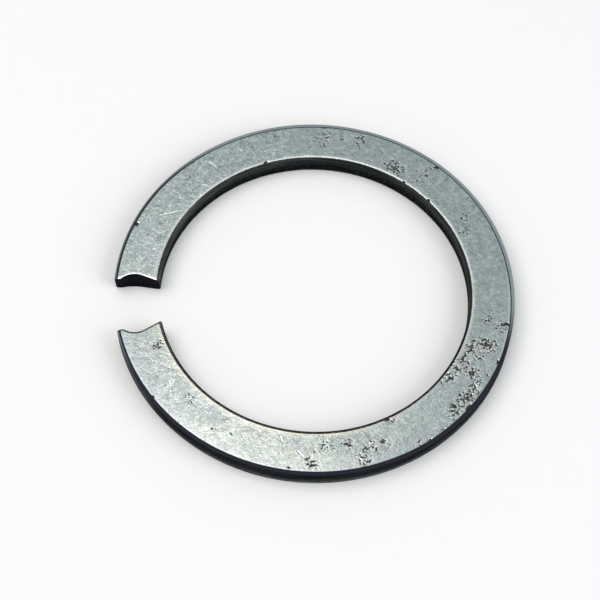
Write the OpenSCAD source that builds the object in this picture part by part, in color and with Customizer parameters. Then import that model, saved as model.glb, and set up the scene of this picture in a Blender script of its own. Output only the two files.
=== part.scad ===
// Split retaining ring for a shaft groove: one stamped and ground spring steel piece.
// It lies flat. The origin is on the bore axis at half the thickness, and the gap opens
// towards -X. Both ends are scalloped, so that expanding pliers find a seat in them.

/* [Ring] */
// Bore diameter, with the ring at rest
bore_d = 46.5; // [25:0.5:120]
// Width of the band, from the bore to the outer wall
band_w = 6.75; // [5.5:0.25:9]
// Thickness between the two ground faces
thickness = 3.2; // [2:0.1:6]

/* [Edges] */
// Radius of the rounded edges of the bore
bore_edge_r = 0.3; // [0.1:0.05:0.8]
// Width of the bevel along the outer edges, measured on the face
rim_bevel_w = 0.5; // [0.1:0.05:1.2]
// Height of the same bevel, measured on the outer wall
rim_bevel_h = 0.15; // [0.05:0.05:0.8]

/* [Gap and ends] */
// Angle between the two end planes, which both pass through the bore axis
gap_angle = 16.3; // [10:0.1:40]
// Radius of the round notch in each end
notch_r = 2.9; // [2.2:0.1:3.8]
// Depth of the notch behind the end plane
notch_depth = 1; // [0.4:0.1:1.6]
// Distance of the notch's centre outside the middle of the band
notch_offset = 0.3; // [-0.3:0.1:0.6]
// Width of end plane left between the bore and the notch
tip_land = 0.2; // [0.1:0.05:0.6]
// Radius that rolls the notch into the end plane at the outer wall
shoulder_r = 0.4; // [0.1:0.1:0.8]

/* [Hidden] */
$fa = 2;
$fs = 0.1;
bore_r = bore_d / 2;
outer_r = bore_r + band_w;
mid_r = bore_r + band_w / 2;
half_t = thickness / 2;
// How far a cutter reaches past what it cuts
margin = 1;
// The notch is drawn with X along the end plane and Y into the metal
notch_c = [mid_r + notch_offset, notch_depth - notch_r];
flank_foot = [bore_r + tip_land, 0];
shoulder_c = [notch_c.x + sqrt((notch_r + shoulder_r) ^ 2 - (notch_c.y - shoulder_r) ^ 2), shoulder_r];

// Point where the line from p, passing above the circle, touches that circle
function touch_point(p, c, r) =
    let (run = norm(c - p), turn = atan2(c.y - p.y, c.x - p.x) + asin(r / run))
    p + sqrt(run ^ 2 - r ^ 2) * [cos(turn), sin(turn)];

// Half section of the band, to be turned about the bore axis
module band_section() {
    polygon([
        [bore_r + bore_edge_r, -half_t],
        [outer_r - rim_bevel_w, -half_t],
        [outer_r, rim_bevel_h - half_t],
        [outer_r, half_t - rim_bevel_h],
        [outer_r - rim_bevel_w, half_t],
        [bore_r + bore_edge_r, half_t]
    ]);
    translate([bore_r, bore_edge_r - half_t])
        square([2 * bore_edge_r, thickness - 2 * bore_edge_r]);
    for (side = [-1, 1])
        translate([bore_r + bore_edge_r, side * (half_t - bore_edge_r)])
            circle(bore_edge_r);
}

// Notch of one end: the round seat, its straight flank towards the bore, the outer shoulder
module notch() {
    translate(notch_c)
        circle(notch_r);
    polygon([flank_foot, touch_point(flank_foot, notch_c, notch_r), notch_c]);
    difference() {
        polygon([notch_c, [shoulder_c.x, 0], shoulder_c]);
        translate(shoulder_c)
            circle(shoulder_r);
    }
}

// Plan of the opening, about +X: the wedge between the end planes and both notches
module opening() {
    reach = outer_r + margin;
    half_gap = gap_angle / 2;
    polygon([[0, 0], reach * [1, -tan(half_gap)], reach * [1, tan(half_gap)]]);
    for (side = [0, 1])
        mirror([0, side])
            rotate(half_gap)
                notch();
}

module ring() {
    color("silver")
        difference() {
            rotate_extrude()
                band_section();
            translate([0, 0, -half_t - margin])
                rotate(180)
                    linear_extrude(thickness + 2 * margin)
                        opening();
        }
}

ring();
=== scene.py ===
import bpy
import bmesh
import math
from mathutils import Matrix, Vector, noise


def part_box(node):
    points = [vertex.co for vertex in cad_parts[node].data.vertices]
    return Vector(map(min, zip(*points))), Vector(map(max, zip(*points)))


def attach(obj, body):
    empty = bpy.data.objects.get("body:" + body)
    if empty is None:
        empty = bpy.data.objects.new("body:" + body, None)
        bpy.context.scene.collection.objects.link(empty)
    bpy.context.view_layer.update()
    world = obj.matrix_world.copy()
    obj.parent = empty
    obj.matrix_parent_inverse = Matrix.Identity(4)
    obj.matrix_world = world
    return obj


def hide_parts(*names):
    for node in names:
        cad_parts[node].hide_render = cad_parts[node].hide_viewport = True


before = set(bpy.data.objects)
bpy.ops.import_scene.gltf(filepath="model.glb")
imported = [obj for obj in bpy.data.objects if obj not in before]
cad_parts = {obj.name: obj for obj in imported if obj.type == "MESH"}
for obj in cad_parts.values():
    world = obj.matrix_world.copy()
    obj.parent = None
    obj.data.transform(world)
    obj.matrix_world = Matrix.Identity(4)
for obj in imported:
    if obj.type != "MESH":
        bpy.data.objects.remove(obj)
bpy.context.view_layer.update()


# ------------------------------------------------------------------ the band
# One flat band of spring steel, 6.75 mm wide and 3.2 mm thick, stamped from plate. The
# die leaves a low bevel along the rim, tumbling rounds the arrises of the bore, and both
# flats are ground, which rolls their edges off by a few hundredths of a millimetre.
mm = 0.001
top_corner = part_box("ring")[1]
rim_clearance = 0.01 * mm
outer_r = round(top_corner.x, 5) - rim_clearance
half_t = round(top_corner.z, 5)
bore_r = 23.25 * mm
bore_edge_r = 0.3 * mm
rim_bevel_w = 0.5 * mm
bore_roll_w = 0.45 * mm
bore_roll_drop = 0.05 * mm
rim_roll_w = 0.4 * mm
rim_roll_drop = 0.012 * mm
gap_angle = math.radians(16.3)
start = math.pi - gap_angle / 2
spin_steps = 480

# The rim's bevel as it runs from the flat to the outer wall: in from the rim, down (mm).
rim_profile = [(0.5, 0.0), (0.36, 0.042), (0.2, 0.09), (0.06, 0.132),
               (0.012, 0.165), (0.0, 0.22), (0.0, 0.35)]

# Cells across the band's section: each rounded edge, each roll, the flat and the wall.
edge_cells = 3
roll_cells = 5
flat_cells = 17
wall_cells = 4
end_face_inset = 0.4 * mm
columns = 2 * edge_cells + 2 * roll_cells + flat_cells
rows = 2 * edge_cells + wall_cells

bpy.ops.object.select_all(action="DESELECT")
bpy.ops.mesh.primitive_grid_add(x_subdivisions=columns, y_subdivisions=rows, size=1)
ring = bpy.context.object
ring.name = "ring_steel"
ring.data.name = "ring_steel"


def ramp(value, low, high):
    """0 up to low and 1 from high on, in a straight line between them."""
    return min(1.0, max(0.0, (value - low) / (high - low)))


def flat_radius(i):
    """Distance from the axis of column i on the ground flat."""
    inner = bore_r + bore_edge_r
    outer = outer_r - rim_bevel_w
    if i <= edge_cells + roll_cells:
        return inner + bore_roll_w * (i - edge_cells) / roll_cells
    if i >= columns - edge_cells - roll_cells:
        return outer - rim_roll_w * (columns - edge_cells - i) / roll_cells
    step = (i - edge_cells - roll_cells) / flat_cells
    return inner + bore_roll_w + (outer - inner - bore_roll_w - rim_roll_w) * step


def section_point(i, j):
    """Radius and height of the grid's vertex in column i, row j of the bar's section."""
    up = 1 if 2 * j > rows else -1
    deep = min(j, rows - j)
    back = columns - i
    if 0 < i < columns and deep > 0:
        inner_w = outer_r - bore_r - 2 * end_face_inset
        radius = bore_r + end_face_inset + inner_w * (i - 1) / (columns - 2)
        height = (half_t - end_face_inset) * (2 * (j - 1) / (rows - 2) - 1)
        return radius, height
    if i <= edge_cells and deep <= edge_cells:
        turn = math.pi / 2 * (edge_cells + i - deep) / (2 * edge_cells)
        radius = bore_r + bore_edge_r * (1 - math.cos(turn))
        height = half_t - bore_roll_drop - bore_edge_r * (1 - math.sin(turn))
        return radius, up * height
    if back <= edge_cells and deep <= edge_cells:
        inset, drop = rim_profile[edge_cells - back + deep]
        return outer_r - inset * mm, up * (half_t - rim_roll_drop - drop * mm)
    step = 2 * (j - edge_cells) / wall_cells - 1
    if i == 0:
        return bore_r, (half_t - bore_roll_drop - bore_edge_r) * step
    if i == columns:
        return outer_r, (half_t - rim_roll_drop - rim_profile[-1][1] * mm) * step
    radius = flat_radius(i)
    at_bore = ramp(radius - bore_r - bore_edge_r, bore_roll_w, 0) ** 2
    at_rim = ramp(outer_r - rim_bevel_w - radius, rim_roll_w, 0) ** 2
    return radius, up * (half_t - bore_roll_drop * at_bore - rim_roll_drop * at_rim)


for v in ring.data.vertices:
    i = round((v.co.x + 0.5) * columns)
    j = round((v.co.y + 0.5) * rows)
    radius, height = section_point(i, j)
    v.co = Vector((radius * math.cos(start), radius * math.sin(start), height))

bpy.ops.object.mode_set(mode="EDIT")
bpy.ops.mesh.select_all(action="SELECT")
bpy.ops.mesh.spin(steps=spin_steps, angle=2 * math.pi - gap_angle,
                  center=(0, 0, 0), axis=(0, 0, 1))
bpy.ops.mesh.select_all(action="SELECT")
bpy.ops.mesh.remove_doubles(threshold=0.002 * mm)
bpy.ops.mesh.normals_make_consistent(inside=False)
bpy.ops.object.mode_set(mode="OBJECT")

# The rim's bevel is a little wider round the far right of the ring, where the die was
# worn: it widens over the first two turns about the axis and narrows over the others
# (degrees). The flat takes up the difference as far in as the blend.
bevel_extra = 0.18 * mm
bevel_blend_r = 27.5 * mm
bevel_widens = (-28, 2)
bevel_narrows = (107, 161)


def bevel_edge(x, y):
    """Distance from the axis at which the ground flat ends and the rim's bevel begins."""
    turn = math.degrees(math.atan2(y, x))
    wider = min(ramp(turn, *bevel_widens), 1 - ramp(turn, *bevel_narrows))
    return outer_r - rim_bevel_w - bevel_extra * wider


for v in ring.data.vertices:
    radius = math.hypot(v.co.x, v.co.y)
    if radius < bevel_blend_r:
        continue
    old_edge = outer_r - rim_bevel_w
    new_edge = bevel_edge(v.co.x, v.co.y)
    if radius < old_edge:
        moved = (bevel_blend_r + (radius - bevel_blend_r) * (new_edge - bevel_blend_r)
                 / (old_edge - bevel_blend_r))
    else:
        moved = outer_r - (outer_r - radius) * (outer_r - new_edge) / rim_bevel_w
    v.co.x *= moved / radius
    v.co.y *= moved / radius

# The grinding went deepest from the lower end to the near side: no roll is left there.
near_left_way = (-0.6, -0.8, 0.0)
deep_ground = (9, 17)
flat_depth = 0.1 * mm


def towards_near_left(x, y):
    """How far a point lies towards the near left side of the ring, in millimetres."""
    return (near_left_way[0] * x + near_left_way[1] * y) / mm


for v in ring.data.vertices:
    from_bore = math.hypot(v.co.x, v.co.y) - bore_r - bore_edge_r
    if abs(v.co.z) < half_t - flat_depth or not -flat_depth <= from_bore <= bore_roll_w:
        continue
    level = ramp(towards_near_left(v.co.x, v.co.y), *deep_ground)
    lift = level * bore_roll_drop * ramp(from_bore, bore_roll_w, 0) ** 2
    v.co.z += math.copysign(lift, v.co.z)


# ------------------------------------------------------------- the two ends
# Each end of the band is cut with one round punch: a shallow hollow across the end
# for the pliers, with a straight flank to the sharp tip at the bore. The steel broke
# away further back and flatter on the underside, and tumbling broke the arris.
notch_r = 2.9 * mm
notch_depth = 1.0 * mm
notch_offset = 0.3 * mm
tip_land = 0.2 * mm
lobe_r = 0.4 * mm
end_break = 0.15 * mm
end_reach = math.radians(9)
break_back = 0.42 * mm
break_flat = 0.7
end_roll_w = 0.34 * mm
end_roll_drop = 0.04 * mm
end_roll_reach = 0.3 * mm
end_zone = math.radians(3)

# Middles of the hollow and of the round lobe outside it, and where the flank touches.
notch_x = (bore_r + outer_r) / 2 + notch_offset
notch_y = notch_depth - notch_r
lobe_x = notch_x + math.sqrt((notch_r + lobe_r) ** 2 - (notch_y - lobe_r) ** 2)
meet_x = notch_x + (lobe_x - notch_x) * notch_r / (notch_r + lobe_r)
foot_x = bore_r + tip_land
flank_run = math.hypot(notch_x - foot_x, notch_y)
flank_turn = math.atan2(notch_y, notch_x - foot_x) + math.asin(notch_r / flank_run)
touch_x = foot_x + math.sqrt(flank_run ** 2 - notch_r ** 2) * math.cos(flank_turn)


def end_cut(x):
    """How far the punched end lies behind the plane of the end, x from the axis along it."""
    if x <= foot_x or x >= lobe_x:
        return 0.0
    if x < touch_x:
        return (x - foot_x) * math.tan(flank_turn)
    if x < meet_x:
        return notch_y + math.sqrt(notch_r ** 2 - (x - notch_x) ** 2)
    return lobe_r - math.sqrt(lobe_r ** 2 - (x - lobe_x) ** 2)


def end_turn(radius):
    """The same as an angle about the axis, at a distance from the axis."""
    cut = 0.0
    for _ in range(4):
        cut = end_cut(math.sqrt(radius ** 2 - cut ** 2))
    return math.asin(cut / radius)


def from_gap(x, y):
    """Angle about the axis between a point and the nearer end plane."""
    return start - abs(math.atan2(y, x))


def from_punched_end(x, y):
    """Distance of a point behind the punched end, along the ring."""
    radius = math.hypot(x, y)
    return (from_gap(x, y) - end_turn(radius)) * radius


for v in ring.data.vertices:
    radius = math.hypot(v.co.x, v.co.y)
    behind = from_gap(v.co.x, v.co.y)
    if behind > end_reach:
        continue
    t = ramp(behind, 0, end_reach)
    fade = 1 - t * t * (3 - 2 * t)
    under = (half_t - v.co.z) / (2 * half_t)
    turned = end_turn(radius) * (1 - break_flat * under) + break_back * under / radius
    angle = math.copysign(start - behind - turned * fade, v.co.y)
    v.co.x = radius * math.cos(angle)
    v.co.y = radius * math.sin(angle)

bpy.ops.object.mode_set(mode="EDIT")
bpy.ops.mesh.select_all(action="DESELECT")
bpy.ops.mesh.select_mode(type="EDGE")
work = bmesh.from_edit_mesh(ring.data)
work.normal_update()


def faces_end(middle, normal, squareness):
    """True where a face lies by the gap and looks along the ring, squarely enough."""
    along = Vector((-middle.y, middle.x, 0)).normalized()
    return from_gap(middle.x, middle.y) < end_zone and abs(normal.dot(along)) > squareness


cut_faces = {f for f in work.faces if faces_end(f.calc_center_median(), f.normal, 0.5)}
for e in work.edges:
    if sum(1 for f in e.link_faces if f in cut_faces) == 1:
        e.select = True
bmesh.update_edit_mesh(ring.data)
bpy.ops.mesh.bevel(offset=end_break, segments=3, profile=0.5, affect="EDGES")
bpy.ops.mesh.select_mode(type="FACE")
bpy.ops.object.mode_set(mode="OBJECT")

mesh = ring.data
mesh.polygons.foreach_set("use_smooth", [True] * len(mesh.polygons))

# The ground flat on top rolls off towards each punched end too.
for v in mesh.vertices:
    if v.co.z > half_t - end_roll_reach:
        v.co.z -= end_roll_drop * ramp(from_punched_end(v.co.x, v.co.y), end_roll_w, 0)


# ------------------------------------------------------- finish: ground flats
# Bare ground spring steel: a satin grey with short crossed scratches from the
# grinding and the tumbling barrel, brighter rubbed edges, and dark rust in the pits.
def add_node(tree, kind, label, settings=None, inputs=None):
    """A shader node with its settings and socket values."""
    made = tree.nodes.new(kind)
    made.label = label
    for key, value in (settings or {}).items():
        setattr(made, key, value)
    for key, value in (inputs or {}).items():
        made.inputs[key].default_value = value
    return made


def start_finish(name):
    """A new material with its shader, and its coordinates in millimetres."""
    finish = bpy.data.materials.new(name)
    finish.use_nodes = True
    tree = finish.node_tree
    shader = tree.nodes["Principled BSDF"]
    place = add_node(tree, "ShaderNodeTexCoord", "place")
    size = add_node(tree, "ShaderNodeVectorMath", "in millimetres", {"operation": "SCALE"},
                    {"Scale": 1000.0})
    tree.links.new(place.outputs["Object"], size.inputs[0])
    return finish, tree, shader, size.outputs[0]


def set_or_link(tree, socket, value):
    """Give a socket a constant, or the output of another node."""
    if isinstance(value, (int, float, tuple)):
        socket.default_value = value
    else:
        tree.links.new(value, socket)


def noise_of(tree, coords, label, scale, detail=2.0, rough=0.5, distortion=0.0):
    """Noise with so many lumps to the millimetre, about 0.5 in the middle."""
    made = add_node(tree, "ShaderNodeTexNoise", label, None,
                    {"Scale": scale, "Detail": detail, "Roughness": rough,
                     "Distortion": distortion})
    tree.links.new(coords, made.inputs["Vector"])
    return made.outputs["Fac"]


def span(tree, value, low, high, to_low=0.0, to_high=1.0):
    """A smooth step from one level to another as a value goes from low to high."""
    made = add_node(tree, "ShaderNodeMapRange", "span", {"interpolation_type": "SMOOTHSTEP"},
                    {"From Min": low, "From Max": high, "To Min": to_low, "To Max": to_high})
    tree.links.new(value, made.inputs["Value"])
    return made.outputs["Result"]


def maths(tree, kind, a, b):
    """The result of a sum on two numbers or sockets."""
    made = add_node(tree, "ShaderNodeMath", kind.lower(), {"operation": kind})
    set_or_link(tree, made.inputs[0], a)
    set_or_link(tree, made.inputs[1], b)
    return made.outputs[0]


def blend(tree, label, amount, a, b):
    """Colour a, turned into colour b by an amount."""
    made = add_node(tree, "ShaderNodeMix", label, {"data_type": "RGBA"})
    set_or_link(tree, made.inputs[0], amount)
    set_or_link(tree, made.inputs[6], a)
    set_or_link(tree, made.inputs[7], b)
    return made.outputs[2]


def point_value(tree, name):
    """The value that the mesh carries at its points under a name."""
    made = add_node(tree, "ShaderNodeAttribute", name, {"attribute_name": name})
    return made.outputs["Fac"]


def distance_towards(tree, plan, label, way):
    """How far a place lies in one direction across the ring, in millimetres."""
    made = add_node(tree, "ShaderNodeVectorMath", label, {"operation": "DOT_PRODUCT"})
    made.inputs[1].default_value = way
    tree.links.new(plan, made.inputs[0])
    return made.outputs["Value"]


_, tree, shader, coords = start_finish("ground_steel")
shader.inputs["Specular IOR Level"].default_value = 0.5

split = add_node(tree, "ShaderNodeSeparateXYZ", "place in the ring")
tree.links.new(coords, split.inputs[0])
plan = add_node(tree, "ShaderNodeCombineXYZ", "in plan")
tree.links.new(split.outputs["X"], plan.inputs["X"])
tree.links.new(split.outputs["Y"], plan.inputs["Y"])
length = add_node(tree, "ShaderNodeVectorMath", "distance from axis", {"operation": "LENGTH"})
tree.links.new(plan.outputs[0], length.inputs[0])
out = length.outputs["Value"]
sweep = distance_towards(tree, plan.outputs[0], "towards the near left", near_left_way)
nearer = distance_towards(tree, plan.outputs[0], "towards the near side", (-0.37, -0.93, 0.0))
# The near left: weathered steel, and also where the left soft box's highlight falls; the mask
# serves both.
weathered_and_highlit = span(tree, sweep, 8.0, 19.0)

# Grain: three sizes of mottling between a dark and a light steel, rougher on the left.
mottle = noise_of(tree, coords, "mottled grain", 1.1, 3.0, 0.6)
fine = noise_of(tree, coords, "fine grain", 2.8, 3.0, 0.6)
sharp = noise_of(tree, coords, "sharp grain", 4.6, 2.0, 0.7)
tone = maths(tree, "ADD", maths(tree, "MULTIPLY", span(tree, mottle, 0.34, 0.66), 0.42),
             maths(tree, "MULTIPLY", span(tree, fine, 0.34, 0.66), 0.38))
tone = maths(tree, "ADD", maths(tree, "SUBTRACT", tone, 0.12),
             maths(tree, "MULTIPLY", span(tree, sharp, 0.36, 0.64), 0.44))
rougher = span(tree, split.outputs["X"], -8.0, 14.0, 1.4, 1.0)
tone = maths(tree, "ADD", maths(tree, "MULTIPLY", maths(tree, "SUBTRACT", tone, 0.5), rougher),
             0.5)
# Painted shade: on the highlit near left both ends of the grain are painted darker, to temper
# the soft box's highlight there.
dark_steel = blend(tree, "darker where weathered", weathered_and_highlit, (0.285, 0.335, 0.345, 1),
                   (0.225, 0.268, 0.262, 1))
light_steel = blend(tree, "lighter where weathered", weathered_and_highlit, (0.79, 0.87, 0.865, 1),
                    (0.74, 0.775, 0.765, 1))
steel = blend(tree, "grain", tone, dark_steel, light_steel)

# Clouds and tints of the oxide film, stronger where the ring is weathered.
cloud = noise_of(tree, coords, "clouding", 0.42, 3.0, 0.6)
steel = blend(tree, "dark clouding", span(tree, cloud, 0.5, 0.62, 0.0, 0.5), steel,
              (0.38, 0.45, 0.46, 1))
steel = blend(tree, "light clouding", span(tree, cloud, 0.5, 0.36, 0.0, 0.3), steel,
              (0.66, 0.72, 0.71, 1))
drift = noise_of(tree, coords, "green drift", 0.11, 2.0)
steel = blend(tree, "green drift", span(tree, drift, 0.4, 0.6, 0.0, 0.22), steel,
              (0.50, 0.58, 0.54, 1))
more_tint = span(tree, weathered_and_highlit, 0.0, 1.0, 1.3, 2.0)


def tint(tree, steel, label, film, low, high, most, colour):
    """Colour the steel where the noise of an oxide film is high."""
    amount = maths(tree, "MULTIPLY", span(tree, film, low, high, 0.0, most), more_tint)
    return blend(tree, label, amount, steel, colour)


bloom = noise_of(tree, coords, "violet bloom", 0.9, 3.0, 0.6)
steel = tint(tree, steel, "violet bloom", bloom, 0.48, 0.66, 0.22, (0.55, 0.52, 0.66, 1))
straw = noise_of(tree, coords, "straw tint", 1.3, 3.0, 0.7)
steel = tint(tree, steel, "straw tint", straw, 0.5, 0.68, 0.2, (0.64, 0.62, 0.50, 1))


# Scratches: cells stretched along five lays, of which some cells show a bright line.
def cells_of(tree, coords, label, scale=1.0):
    """Distance from the middle of flat cells, and a random number for each cell."""
    made = add_node(tree, "ShaderNodeTexVoronoi", label, {"voronoi_dimensions": "2D"},
                    {"Scale": scale})
    tree.links.new(coords, made.inputs["Vector"])
    return made.outputs["Distance"], made.outputs["Color"]


scratches = None
for turn, seed, long, wide in ((12, 3.0, 14.0, 1.7), (47, 11.0, 11.0, 1.9),
                               (83, 23.0, 6.0, 1.0), (121, 37.0, 15.0, 1.8),
                               (158, 53.0, 7.0, 1.1)):
    lay = add_node(tree, "ShaderNodeMapping", "scratch direction", {"vector_type": "TEXTURE"},
                   {"Location": (seed, seed * 2, 0.0), "Rotation": (0, 0, math.radians(turn)),
                    "Scale": (long, wide, 1.0)})
    tree.links.new(coords, lay.inputs["Vector"])
    middle_line, chance = cells_of(tree, lay.outputs[0], "scratches")
    part = maths(tree, "MULTIPLY", span(tree, middle_line, 0.02, 0.08, 1.0, 0.0),
                 span(tree, chance, 0.4, 0.75))
    scratches = part if scratches is None else maths(tree, "MAXIMUM", scratches, part)
by_left = maths(tree, "MULTIPLY", span(tree, split.outputs["X"], -12.0, 10.0, 0.85, 0.5),
                span(tree, sweep, 2.0, 14.0, 1.0, 0.35))
steel = blend(tree, "bright scratches", maths(tree, "MULTIPLY", scratches, by_left), steel,
              (0.86, 0.91, 0.90, 1))

# Painted glints: bright points that stand for sparkles of light on the grain, most on the far
# left.
points = None
for scale, seed in ((1.15, 0.0), (0.8, 7.0)):
    lay = add_node(tree, "ShaderNodeMapping", "points", None, {"Location": (seed, seed, 0.0)})
    tree.links.new(coords, lay.inputs["Vector"])
    middle_dot, chance = cells_of(tree, lay.outputs[0], "bright points", scale)
    part = maths(tree, "MULTIPLY", span(tree, middle_dot, 0.06, 0.17, 1.0, 0.0),
                 span(tree, chance, 0.45, 0.75))
    points = part if points is None else maths(tree, "MAXIMUM", points, part)
painted_glint_area = maths(tree, "MULTIPLY", span(tree, split.outputs["X"], -18.0, 0.0, 1.0, 0.2),
                 span(tree, split.outputs["Y"], 4.5, 8.0, 0.3, 1.0))
steel = blend(tree, "bright points", maths(tree, "MULTIPLY", points, painted_glint_area), steel,
              (0.90, 0.94, 0.92, 1))

# Weathering: curled lines of corrosion, and the steel made darker towards the rim and by the
# gap.
curl = noise_of(tree, coords, "corrosion curls", 1.7, 1.0, 0.5)
curl = maths(tree, "ABSOLUTE", maths(tree, "SUBTRACT", curl, 0.5), 0.0)
curl = maths(tree, "MULTIPLY", span(tree, curl, 0.0, 0.05, 0.36, 0.0), weathered_and_highlit)
steel = blend(tree, "corrosion curls", curl, steel, (0.30, 0.35, 0.33, 1))
# Painted highlight: a violet sheen along the rim on the highlit near left.
painted_violet_sheen = maths(tree, "MULTIPLY", span(tree, out, 27.2, 29.4, 0.0, 0.5), weathered_and_highlit)
steel = blend(tree, "violet towards the rim", painted_violet_sheen, steel, (0.48, 0.52, 0.61, 1))
duller = maths(tree, "MULTIPLY", span(tree, out, 25.5, 28.0, 0.0, 0.06), weathered_and_highlit)
steel = blend(tree, "duller towards the rim", duller, steel, (0.36, 0.41, 0.39, 1))
by_gap = span(tree, split.outputs["X"], -22.0, -26.5, 0.0, 0.24)
steel = blend(tree, "duller by the gap", by_gap, steel, (0.36, 0.41, 0.40, 1))
# Painted highlight: a warm pale patch on the near side, where the soft box's highlight is
# brightest.
painted_near_highlight = span(tree, nearer, 23.3, 26.8, 0.0, 0.2)
steel = blend(tree, "paler on the near side", painted_near_highlight, steel, (0.86, 0.85, 0.76, 1))
moss = noise_of(tree, coords, "moss tint", 1.0, 2.0, 0.6, 0.3)
steel = tint(tree, steel, "moss tint", moss, 0.5, 0.68, 0.2, (0.42, 0.55, 0.50, 1))

# Rubbed edges: bright along the bore, the rim and the ends, partly real rubbing and partly
# painted highlight; the cream at the bore and the violet on the rim of the near left are
# painted highlight colours.
rubbed_and_highlit = point_value(tree, "rubbed_and_highlit")
bore_side = span(tree, out, 24.2, 26.0, 1.0, 0.0)
rim_tone = blend(tree, "violet rim where weathered", weathered_and_highlit, (0.90, 0.94, 0.95, 1),
                 (0.80, 0.86, 0.98, 1))
edge_tone = blend(tree, "bore or rim", bore_side, rim_tone, (0.94, 0.96, 0.93, 1))
painted_cream_highlight = maths(tree, "MULTIPLY", maths(tree, "MULTIPLY", bore_side, weathered_and_highlit), 0.8)
edge_tone = blend(tree, "cream where weathered", painted_cream_highlight, edge_tone, (0.96, 0.92, 0.74, 1))
steel = blend(tree, "rubbed edge", rubbed_and_highlit, steel, edge_tone)

# Rust: where the mesh says that the steel is eaten, with painted glints round the pits,
# and a fine peppering that is thicker round the pits and on the underside. The same dark
# colour draws the painted shade line that the mesh carries along the edges of the flat.
pitted = point_value(tree, "pitted")
glint = noise_of(tree, coords, "glints", 3.4, 2.0, 0.6)
painted_pit_glints = maths(tree, "MULTIPLY", span(tree, glint, 0.5, 0.6), pitted)
painted_pit_glints = maths(tree, "MULTIPLY", painted_pit_glints, span(tree, split.outputs["Y"], -6.0, 6.0, 0.7, 0.25))
steel = blend(tree, "bright rims of pits", painted_pit_glints, steel, (0.95, 0.93, 0.92, 1))
pepper = noise_of(tree, coords, "fine pitting", 3.0, 2.0, 0.7)
patches = noise_of(tree, coords, "rust under the ring", 0.33, 2.0)
below = maths(tree, "MULTIPLY", span(tree, split.outputs["Z"], -1.0, -1.4),
              span(tree, patches, 0.52, 0.66, 0.0, 0.22))
more_pepper = maths(tree, "ADD", maths(tree, "MULTIPLY", weathered_and_highlit, 0.035), below)
more_pepper = maths(tree, "ADD", maths(tree, "MULTIPLY", pitted, 0.12), more_pepper)
pepper = maths(tree, "ADD", maths(tree, "SUBTRACT", pepper, 0.36), more_pepper)
ragged = maths(tree, "MULTIPLY", maths(tree, "SUBTRACT", fine, 0.5), 0.5)
rust = maths(tree, "ADD", point_value(tree, "rust"), ragged)
eaten = span(tree, maths(tree, "MAXIMUM", pepper, rust), 0.24, 0.62)
rust_tone = noise_of(tree, coords, "rust tone", 3.4, 3.0)
rust_colour = blend(tree, "rust colour", span(tree, rust_tone, 0.46, 0.64),
                    (0.009, 0.008, 0.010, 1), (0.13, 0.10, 0.10, 1))
rust_colour = blend(tree, "black in the nicks", point_value(tree, "nick"), rust_colour,
                    (0.008, 0.008, 0.010, 1))
steel = blend(tree, "rust on steel", eaten, steel, rust_colour)
tree.links.new(steel, shader.inputs["Base Color"])
tree.links.new(maths(tree, "SUBTRACT", 1.0, eaten), shader.inputs["Metallic"])

# Roughness is least on the rubbed edges and most on the rust. The grain stands up and
# the scratches are cut in, by a few thousandths of a millimetre.
satin = maths(tree, "SUBTRACT", span(tree, cloud, 0.35, 0.65, 0.20, 0.28),
              maths(tree, "MULTIPLY", rubbed_and_highlit, 0.04))
tree.links.new(maths(tree, "ADD", satin, maths(tree, "MULTIPLY", eaten, 0.5)),
               shader.inputs["Roughness"])
bump = add_node(tree, "ShaderNodeBump", "grain height", None,
                {"Strength": 1.0, "Distance": 0.009 * mm})
relief = maths(tree, "MULTIPLY",
               maths(tree, "SUBTRACT", tone, maths(tree, "MULTIPLY", scratches, 0.5)),
               maths(tree, "SUBTRACT", 1.0, rubbed_and_highlit))
tree.links.new(relief, bump.inputs["Height"])
tree.links.new(bump.outputs["Normal"], shader.inputs["Normal"])


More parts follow.
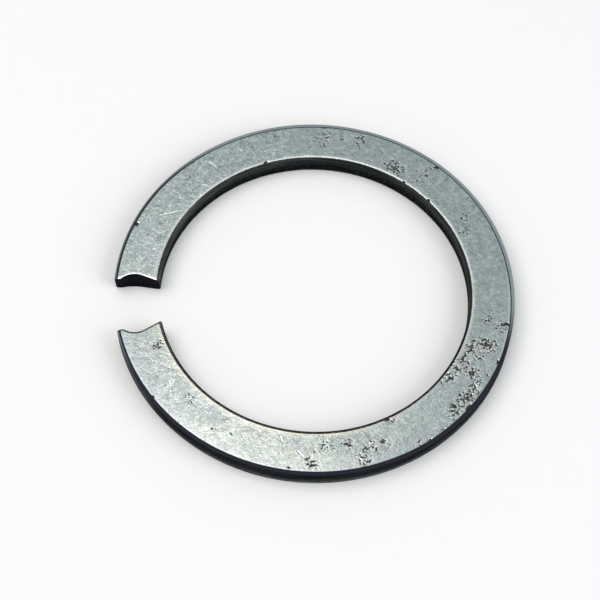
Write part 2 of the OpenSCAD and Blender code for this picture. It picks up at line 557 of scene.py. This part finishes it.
# ------------------------------------------------- finish: walls and punched ends
# The bore, the rim and the punched ends are never ground: they keep the black
# scale of the hardening, thin and greenish on the bore, thick and blue on the rim.
def black_scale(name, top, foot, grit_colour, low, high, thin=0.0, ior=1.5, end_thin=0.0):
    """Black scale that goes from the foot's colour to the top's between two heights (mm).

    Faint shear lines run along the wall. The scale may be worn thin away from the near
    side, and by the gap.
    """
    _, tree, shader, coords = start_finish(name)
    shader.inputs["Specular IOR Level"].default_value = 0.02
    shader.inputs["IOR"].default_value = ior
    split = add_node(tree, "ShaderNodeSeparateXYZ", "height")
    tree.links.new(coords, split.inputs[0])
    grit = noise_of(tree, coords, "gritty scale", 1.9, 4.0, 0.65)
    wavy = maths(tree, "ADD", split.outputs["Z"],
                 maths(tree, "MULTIPLY", maths(tree, "SUBTRACT", grit, 0.5), 1.2))
    rise = span(tree, wavy, low, high)
    scale = blend(tree, "scale colour", rise, foot, top)
    if thin:
        near_side = span(tree, split.outputs["Y"], -14.0, -2.0, 0.15, 1.0)
        scale = blend(tree, "black on the near side", near_side, foot, scale)
        patchy = maths(tree, "ADD", span(tree, split.outputs["X"], -24.0, 4.0, 1.0, 0.0),
                       span(tree, split.outputs["X"], 12.0, 22.0, 0.0, 0.35))
        patchy = maths(tree, "MULTIPLY", patchy, near_side)
        worn_thin = maths(tree, "MULTIPLY", patchy, maths(tree, "MULTIPLY", rise, thin))
        scale = blend(tree, "thin scale", worn_thin, scale, (0.10, 0.115, 0.10, 1))
    by_end = span(tree, split.outputs["X"], -23.0, -29.0, 0.0, end_thin)
    scale = blend(tree, "thin by the gap", by_end, scale, (0.115, 0.125, 0.125, 1))
    scale = blend(tree, "grit", span(tree, grit, 0.5, 0.68, 0.0, 0.6), scale, grit_colour)
    along_wall = add_node(tree, "ShaderNodeMapping", "along the wall", None,
                          {"Scale": (0.16, 0.16, 4.0)})
    tree.links.new(coords, along_wall.inputs["Vector"])
    sheared = noise_of(tree, along_wall.outputs[0], "shear lines", 1.0, 3.0, 0.6)
    scale = blend(tree, "shear lines", span(tree, sheared, 0.58, 0.4, 0.0, 0.65), scale,
                  (0.003, 0.003, 0.004, 1))
    tree.links.new(scale, shader.inputs["Base Color"])
    tree.links.new(span(tree, grit, 0.3, 0.7, 0.62, 0.82), shader.inputs["Roughness"])
    bump = add_node(tree, "ShaderNodeBump", "scale height", None,
                    {"Strength": 0.6, "Distance": 0.03 * mm})
    tree.links.new(grit, bump.inputs["Height"])
    tree.links.new(bump.outputs["Normal"], shader.inputs["Normal"])


# The bore's wall is painted black towards its foot: painted shade where it stands on the card,
# under its lighter top.
black_scale("bore_scale", (0.030, 0.038, 0.038, 1), (0.006, 0.0065, 0.009, 1),
            (0.046, 0.054, 0.049, 1), -0.3, 1.0, thin=0.7)
# Towards the rim's foot the scale is painted pale grey: a painted reflection of the card in
# front of the wall.
black_scale("rim_scale", (0.018, 0.0185, 0.0235, 1), (0.15, 0.16, 0.155, 1),
            (0.028, 0.030, 0.035, 1), -1.8, 0.2, ior=1.12, end_thin=0.8)
black_scale("punched_end", (0.008, 0.0085, 0.014, 1), (0.004, 0.004, 0.006, 1),
            (0.015, 0.016, 0.025, 1), -1.0, 1.0)


# ------------------------------------------------------------ finish: rim bevel
# The bevel along the rim keeps the scale in its root. Along the half of the ring away from
# the gap's lower end it is painted a dull grey: a painted reflection of the pale room.
_, tree, shader, coords = start_finish("rim_bevel")
shader.inputs["Specular IOR Level"].default_value = 0.2
split = add_node(tree, "ShaderNodeSeparateXYZ", "place")
tree.links.new(coords, split.inputs[0])
root = span(tree, split.outputs["X"], -24.0, -12.0, 0.34, 0.0)
across = span(tree, maths(tree, "SUBTRACT", point_value(tree, "bevel"), root), 0.10, 0.28)
along = span(tree, split.outputs["Y"], -13.0, -4.0)
grit = noise_of(tree, coords, "gritty scale", 2.6, 3.0, 0.6)
painted_far_sheen = maths(tree, "MULTIPLY", maths(tree, "MULTIPLY", across, along),
                   span(tree, grit, 0.25, 0.5, 0.6, 1.0))
grey = blend(tree, "darker by the gap", span(tree, split.outputs["X"], -24.0, -10.0, 1.0, 0.0),
             (0.23, 0.28, 0.29, 1), (0.14, 0.17, 0.18, 1))
tree.links.new(blend(tree, "rubbed bevel", painted_far_sheen, (0.010, 0.011, 0.022, 1), grey),
               shader.inputs["Base Color"])
tree.links.new(span(tree, grit, 0.3, 0.7, 0.5, 0.65), shader.inputs["Roughness"])


# ---------------------------------------------------------- rust pits and nicks
# The ring has stood damp: rust has eaten small branched pits into the upper flat,
# thickest on one side. Its edges carry a few nicks from handling, and long scratches
# cross it.
pit_depth = 0.035 * mm

# A spot spreads to 1.5 times its half length and width, and is cut off at 2.5 mm.
spot_spread = 1.5
spot_limit = 2.5
rust_spots = [
    # turn about the axis, distance from it (mm), half length, half width, lean, weight
    (-18, 28.6, 1.0, 0.8, 20, 1.4), (-17, 26.2, 0.9, 0.5, 60, 1.3),
    (2, 23.95, 0.3, 0.2, 0, 0.9), (-26, 26.9, 1.4, 1.1, 0, 1.8), (-31, 26.5, 0.6, 0.4, 30, 1.2),
    (-29, 25.0, 1.2, 0.7, 80, 1.5), (-34, 24.7, 1.3, 0.7, 40, 1.5),
    (-38, 24.5, 0.8, 0.6, 0, 1.2), (-37, 26.6, 1.3, 0.8, 10, 1.4),
    (-43, 24.3, 1.1, 0.6, 50, 1.2), (-41, 28.3, 1.3, 0.7, 100, 1.2),
    (-45, 28.3, 1.3, 0.9, 70, 1.4), (-50, 28.5, 1.3, 0.9, 90, 1.3),
    (-30, 29.1, 0.6, 0.3, 0, 0.8), (-35, 28.8, 0.4, 0.3, 0, 0.8),
    (-65, 29.0, 0.5, 0.3, 0, 0.8), (-68, 24.3, 0.4, 0.2, 90, 0.8),
    (-70, 23.7, 0.4, 0.25, 90, 0.9),
    (-74, 26.5, 0.9, 0.5, 45, 0.8), (-78, 26.8, 0.9, 0.5, 20, 1.0),
    (-80, 26.9, 0.7, 0.5, 0, 1.0), (-82, 28.3, 1.0, 0.7, 30, 1.1),
    (-85, 25.6, 0.9, 0.6, 60, 1.1), (-91, 25.6, 0.6, 0.4, 0, 0.8),
    (-94, 25.8, 1.0, 0.5, 130, 1.0), (-97, 28.3, 0.9, 0.7, 40, 1.1),
    (-103, 29.0, 0.4, 0.2, 90, 0.8), (-122.7, 26.8, 0.3, 0.3, 0, 0.7),
    (-127.6, 27.3, 0.3, 0.25, 0, 0.6), (-140.5, 25.6, 0.9, 0.4, 70, 0.8),
    (-163, 25.0, 0.8, 0.5, 20, 1.3),
    (118, 26.3, 0.3, 0.3, 0, 0.9), (96, 28.1, 0.4, 0.3, 0, 0.7),
    (103, 23.9, 0.3, 0.3, 0, 0.8), (81, 27.6, 1.6, 1.0, 0, 0.7),
    (75, 27.5, 0.4, 0.4, 0, 0.8), (69, 28.0, 1.4, 0.9, 0, 0.8),
    (63, 24.6, 0.5, 0.2, 90, 0.8), (54, 25.2, 1.7, 0.9, 80, 1.5),
    (45, 27.0, 1.8, 1.0, 0, 0.6), (43, 29.0, 0.5, 0.3, 90, 1.0),
    (23, 26.5, 0.9, 0.5, 30, 0.7), (18, 25.1, 0.9, 0.6, 0, 0.8),
]


def spot_fall(x, y):
    """How near a point is to the middle of a rust spot: its weight there, 0 clear of all."""
    best = 0.0
    for turn, out, long, wide, lean, weight in rust_spots:
        angle = math.radians(turn)
        dx = x - out * math.cos(angle)
        dy = y - out * math.sin(angle)
        if abs(dx) > spot_limit or abs(dy) > spot_limit:
            continue
        tilt = angle + math.radians(lean)
        u = (dx * math.cos(tilt) + dy * math.sin(tilt)) / (long * spot_spread)
        v = (dy * math.cos(tilt) - dx * math.sin(tilt)) / (wide * spot_spread)
        best = max(best, (1 - math.hypot(u, v)) * weight)
    return best


nicks = [
    # turn about the axis, distance from it, length along the edge, width across it (mm)
    (48, 23.75, 0.28, 0.26), (36, 23.75, 0.34, 0.26), (103, 23.75, 0.22, 0.22),
    (-70, 23.75, 0.5, 0.22), (152, 29.3, 0.36, 0.42), (124.5, 29.4, 0.3, 0.2),
    (120.5, 29.4, 0.6, 0.16), (105, 29.4, 0.24, 0.18), (90, 29.4, 0.2, 0.14),
    (69, 29.4, 0.3, 0.16), (55, 29.4, 0.5, 0.14), (43, 29.15, 0.34, 0.3),
    (15.5, 29.4, 0.3, 0.22), (-148, 29.4, 0.25, 0.16), (-103, 29.1, 0.3, 0.14),
    (-62, 29.35, 0.2, 0.14), (-30, 29.3, 0.45, 0.18), (-47, 29.3, 0.6, 0.2),
    (-57, 29.25, 0.2, 0.12),
]
nick_depth = 0.07 * mm
nick_limit = 1.2
nowhere = -9.0


def lumps(x, y, fineness, layer):
    """Noise of a fineness, from -1 to 1, in a layer of its own."""
    return noise.noise(Vector((x * fineness, y * fineness, layer)))


def nick_at(x, y):
    """How deep a point in millimetres lies in a nick: 1 in its middle, below 0 outside."""
    best = nowhere
    for turn, out, length, width in nicks:
        angle = math.radians(turn)
        dx = x - out * math.cos(angle)
        dy = y - out * math.sin(angle)
        if abs(dx) > nick_limit or abs(dy) > nick_limit:
            continue
        ragged = 1 + 0.5 * lumps(x, y, 4.0, 30.0)
        u = (dy * math.cos(angle) - dx * math.sin(angle)) / length
        v = (dx * math.cos(angle) + dy * math.sin(angle)) / width
        best = max(best, 1.2 - math.hypot(u, v) * ragged)
    return min(1.0, best * 1.6)


scores = [
    # long scratches, each from a turn and distance (mm) to another
    (147.0, 27.2, 140.2, 24.25), (132.8, 24.1, 131.6, 23.8), (128.0, 25.3, 126.5, 24.4),
    (120.5, 28.2, 119.5, 26.2), (110.0, 28.2, 108.5, 26.8),
    (99.0, 25.4, 94.5, 26.2), (-106.0, 25.6, -107.5, 24.6), (-99.0, 27.5, -101.5, 26.3),
]
score_depth = 0.014 * mm
score_half_w = 0.16
score_taper = 1 / 6


def score_at(x, y):
    """1 on the line of a long scratch, 0 at its edge and less further away."""
    best = nowhere
    for turn_a, out_a, turn_b, out_b in scores:
        ax = out_a * math.cos(math.radians(turn_a))
        ay = out_a * math.sin(math.radians(turn_a))
        bx = out_b * math.cos(math.radians(turn_b)) - ax
        by = out_b * math.sin(math.radians(turn_b)) - ay
        t = ((x - ax) * bx + (y - ay) * by) / (bx * bx + by * by)
        if t < 0 or t > 1:
            continue
        off = math.hypot(x - ax - t * bx, y - ay - t * by)
        tapered = ramp(t, score_taper, 0) + ramp(t, 1 - score_taper, 1)
        best = max(best, 1 - off / score_half_w - tapered)
    return best


pattern_x = 37.3
pattern_y = -12.1


def rust_at(x, y):
    """How much the flat is eaten at a point given in millimetres: twigs, specks and grit."""
    fall = spot_fall(x, y)
    if fall <= 0:
        return 0.0
    wx = x + pattern_x + 0.25 * lumps(x, y, 1.3, 1.0)
    wy = y + pattern_y + 0.25 * lumps(x, y, 1.3, 5.0)
    twig = 0.5 - 2.2 * abs(lumps(wx, wy, 2.0, 9.0))
    speck = lumps(wx, wy, 2.9, 4.0)
    grit = lumps(wx, wy, 5.2, 2.0)
    blot = lumps(wx, wy, 1.1, 17.0)
    level = 1.5 * speck + 0.9 * grit + 0.9 * twig + 0.5 * blot + 0.68 * fall - 0.60
    return ramp(level, 0, 0.3) * ramp(fall, 0, 1 / 6)


# Finer facets on the upper flat, where marks and the punched ends need them.
bpy.ops.object.mode_set(mode="EDIT")
bpy.ops.mesh.select_all(action="DESELECT")
work = bmesh.from_edit_mesh(ring.data)
for f in work.faces:
    middle = f.calc_center_median()
    if f.normal.z < 0.3 or middle.z < half_t - 0.3 * mm:
        continue
    x, y = middle.x / mm, middle.y / mm
    if (spot_fall(x, y) > 0.1 or nick_at(x, y) > -0.5 or score_at(x, y) > -1.0
            or from_punched_end(middle.x, middle.y) < 0.7 * mm):
        f.select = True
bmesh.update_edit_mesh(ring.data)
bpy.ops.mesh.subdivide(number_cuts=3, ngon=True)
bpy.ops.object.mode_set(mode="OBJECT")

marks = {name: [0.0] * len(mesh.vertices)
         for name in ("rust", "rubbed_and_highlit", "pitted", "nick", "bevel")}

# The rubbed line along the ends, partly a painted highlight, is faintest this far out on the
# flat (mm).
flat_middle = 3.05


def crest(distance, middle, reach):
    """1 on a line along an edge, falling to 0 at its reach either side (mm)."""
    return ramp(abs(distance / mm - middle), reach, 0)


def rubbed_and_highlight_at(turn, near_left, from_bore, from_rim, from_end):
    """How bright a point of the flat is, by its distances from the edges: rubbed by the
    tumbling, and partly a painted highlight, brightest on the bore near 30 degrees, on the rim
    near -16 degrees, and on the near left bore.
    """
    along_bore = 0.8 + 0.2 * ramp(abs(turn - 30), 25, 0) - 0.2 * near_left
    along_rim = ramp(abs(turn + 16), 22.4, 8.4)
    along_ends = 0.3 + 0.3 * abs(from_bore / mm - flat_middle) if turn > 0 else 0.3
    return max(along_bore * crest(from_bore, 0.28, 0.24),
               0.35 * near_left * crest(from_bore, 0.4, 0.7),
               along_rim * crest(from_rim, 0.22, 0.2),
               along_ends * crest(from_end, 0.26, 0.34))


def edge_shade_at(turn, near_left, from_bore, from_rim, from_end):
    """Painted shade: how dark a line, coloured like the walls' black scale, runs in from an
    edge of the flat, where the rounded edges look dark.
    """
    over_bore = 1.4 + 1.1 * near_left - from_bore / (0.10 * mm)
    over_rim = 1.0 - 0.5 * near_left - from_rim / (0.09 * mm)
    over_end = (1.0 if turn > 0 else 2.8) - (from_end - end_break) / (0.06 * mm)
    over_corner = 2.2 - (from_end + min(from_bore, from_rim)) / (0.25 * mm)
    return ramp(max(over_bore, over_rim, over_end, over_corner if turn < 0 else 0.0), 0, 1)


hair = 0.001 * mm
top_zone = 0.4 * mm
for v in mesh.vertices:
    x, y = v.co.x / mm, v.co.y / mm
    radius = math.hypot(v.co.x, v.co.y)
    bevel_starts = bevel_edge(v.co.x, v.co.y)
    from_bore = radius - bore_r - bore_edge_r
    from_rim = bevel_starts - radius
    marks["bevel"][v.index] = ramp(radius, bevel_starts, outer_r)
    if v.co.z < half_t - top_zone:
        continue
    dent = max(0.0, nick_at(x, y))
    marks["nick"][v.index] = dent
    if min(from_bore, from_rim) > -hair:
        edges = (math.degrees(math.atan2(y, x)), ramp(towards_near_left(v.co.x, v.co.y), 8, 16),
                 from_bore, from_rim, from_punched_end(v.co.x, v.co.y))
        score = max(0.0, score_at(x, y))
        eaten = rust_at(x, y)
        marks["rubbed_and_highlit"][v.index] = min(1.0, max(rubbed_and_highlight_at(*edges), score))
        marks["pitted"][v.index] = ramp(spot_fall(x, y), 0, 0.625)
        # The rust value also carries the painted shade line along the edges of the flat.
        marks["rust"][v.index] = max(eaten, dent, edge_shade_at(*edges))
        v.co.z -= eaten ** 2 * pit_depth + score * score_depth
    v.co.z -= dent * nick_depth
for name, values in marks.items():
    mesh.attributes.new(name, "FLOAT", "POINT").data.foreach_set("value", values)

finishes = ["ground_steel", "bore_scale", "rim_scale", "punched_end", "rim_bevel"]
flat_starts = bore_r + bore_edge_r
wall_parting = 27 * mm
for name in finishes:
    mesh.materials.append(bpy.data.materials[name])


def finish_of(middle, normal):
    """The finish of a face of the ring, by where its middle is and which way it looks."""
    radius = math.hypot(middle.x, middle.y)
    flat_ends = bevel_edge(middle.x, middle.y) - 0.01 * mm
    under_top = half_t - abs(middle.z)
    if faces_end(middle, normal, 0.3):
        return "punched_end"
    if under_top < 0.2 * mm and abs(normal.z) > 0.5 and flat_starts < radius < flat_ends:
        return "ground_steel"
    if under_top < 0.22 * mm and radius > flat_ends:
        return "rim_bevel"
    return "rim_scale" if radius > wall_parting else "bore_scale"


for p in mesh.polygons:
    p.material_index = finishes.index(finish_of(p.center, p.normal))

bpy.ops.object.select_all(action="DESELECT")
ring.select_set(True)
bpy.context.view_layer.objects.active = ring
bpy.ops.object.shade_smooth_by_angle(angle=math.radians(40))
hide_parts("ring")
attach(ring, "root")


# ------------------------------------------------------------- floor and lamps
# A sheet of white card on the bench, with one large soft box overhead on the left
# and one lower on the right, in a pale room.
card_size = 4.0
bpy.ops.object.select_all(action="DESELECT")
bpy.ops.mesh.primitive_plane_add(size=card_size, location=(0, 0, -half_t))
card = bpy.context.object
card.name = "white_card"
bpy.ops.object.transform_apply(location=True, rotation=True, scale=True)
paper, tree, shader, coords = start_finish("white_card")
fibre = noise_of(tree, coords, "fibre", 0.4, 3.0)
tree.links.new(blend(tree, "card", fibre, (0.948, 0.935, 0.94, 1), (0.958, 0.945, 0.95, 1)),
               shader.inputs["Base Color"])
shader.inputs["Roughness"].default_value = 0.9
shader.inputs["Specular IOR Level"].default_value = 0.1
card.data.materials.append(paper)


def soft_box(name, towards, distance, size, watts, colour):
    """A square soft box that points at the ring."""
    lamp = bpy.data.lights.new(name, "AREA")
    lamp.shape = "SQUARE"
    lamp.size = size
    lamp.energy = watts
    lamp.color = colour
    holder = bpy.data.objects.new(name, lamp)
    bpy.context.scene.collection.objects.link(holder)
    holder.location = Vector(towards).normalized() * distance
    holder.rotation_euler = Vector(towards).to_track_quat("Z", "Y").to_euler()


soft_box("soft_box_left", (-0.385, 0.055, 0.93), 0.6, 0.57, 1.88, (1.0, 0.955, 0.895))
soft_box("soft_box_right", (0.75, -0.45, 0.6), 0.8, 0.6, 2.35, (0.98, 0.99, 1.0))

room = bpy.data.worlds.new("pale_room")
bpy.context.scene.world = room
room.use_nodes = True
room.node_tree.nodes["Background"].inputs["Color"].default_value = (0.90, 0.98, 1.0, 1)
room.node_tree.nodes["Background"].inputs["Strength"].default_value = 0.51


# -------------------------------------------------------------------- camera
# A small camera held over the bench on the near side, looking down at sixty degrees.
view = bpy.data.cameras.new("camera")
view.lens = 94.19
view.sensor_width = 36.0
view.clip_start = 0.01
view.clip_end = 10.0
camera = bpy.data.objects.new("camera", view)
bpy.context.scene.collection.objects.link(camera)
camera.location = (-17.026 * mm, -113.770 * mm, 206.227 * mm)
camera.rotation_euler = (math.radians(28.889), math.radians(-0.945), math.radians(-5.754))
bpy.context.scene.camera = camera

bpy.context.scene.view_settings.view_transform = "Standard"
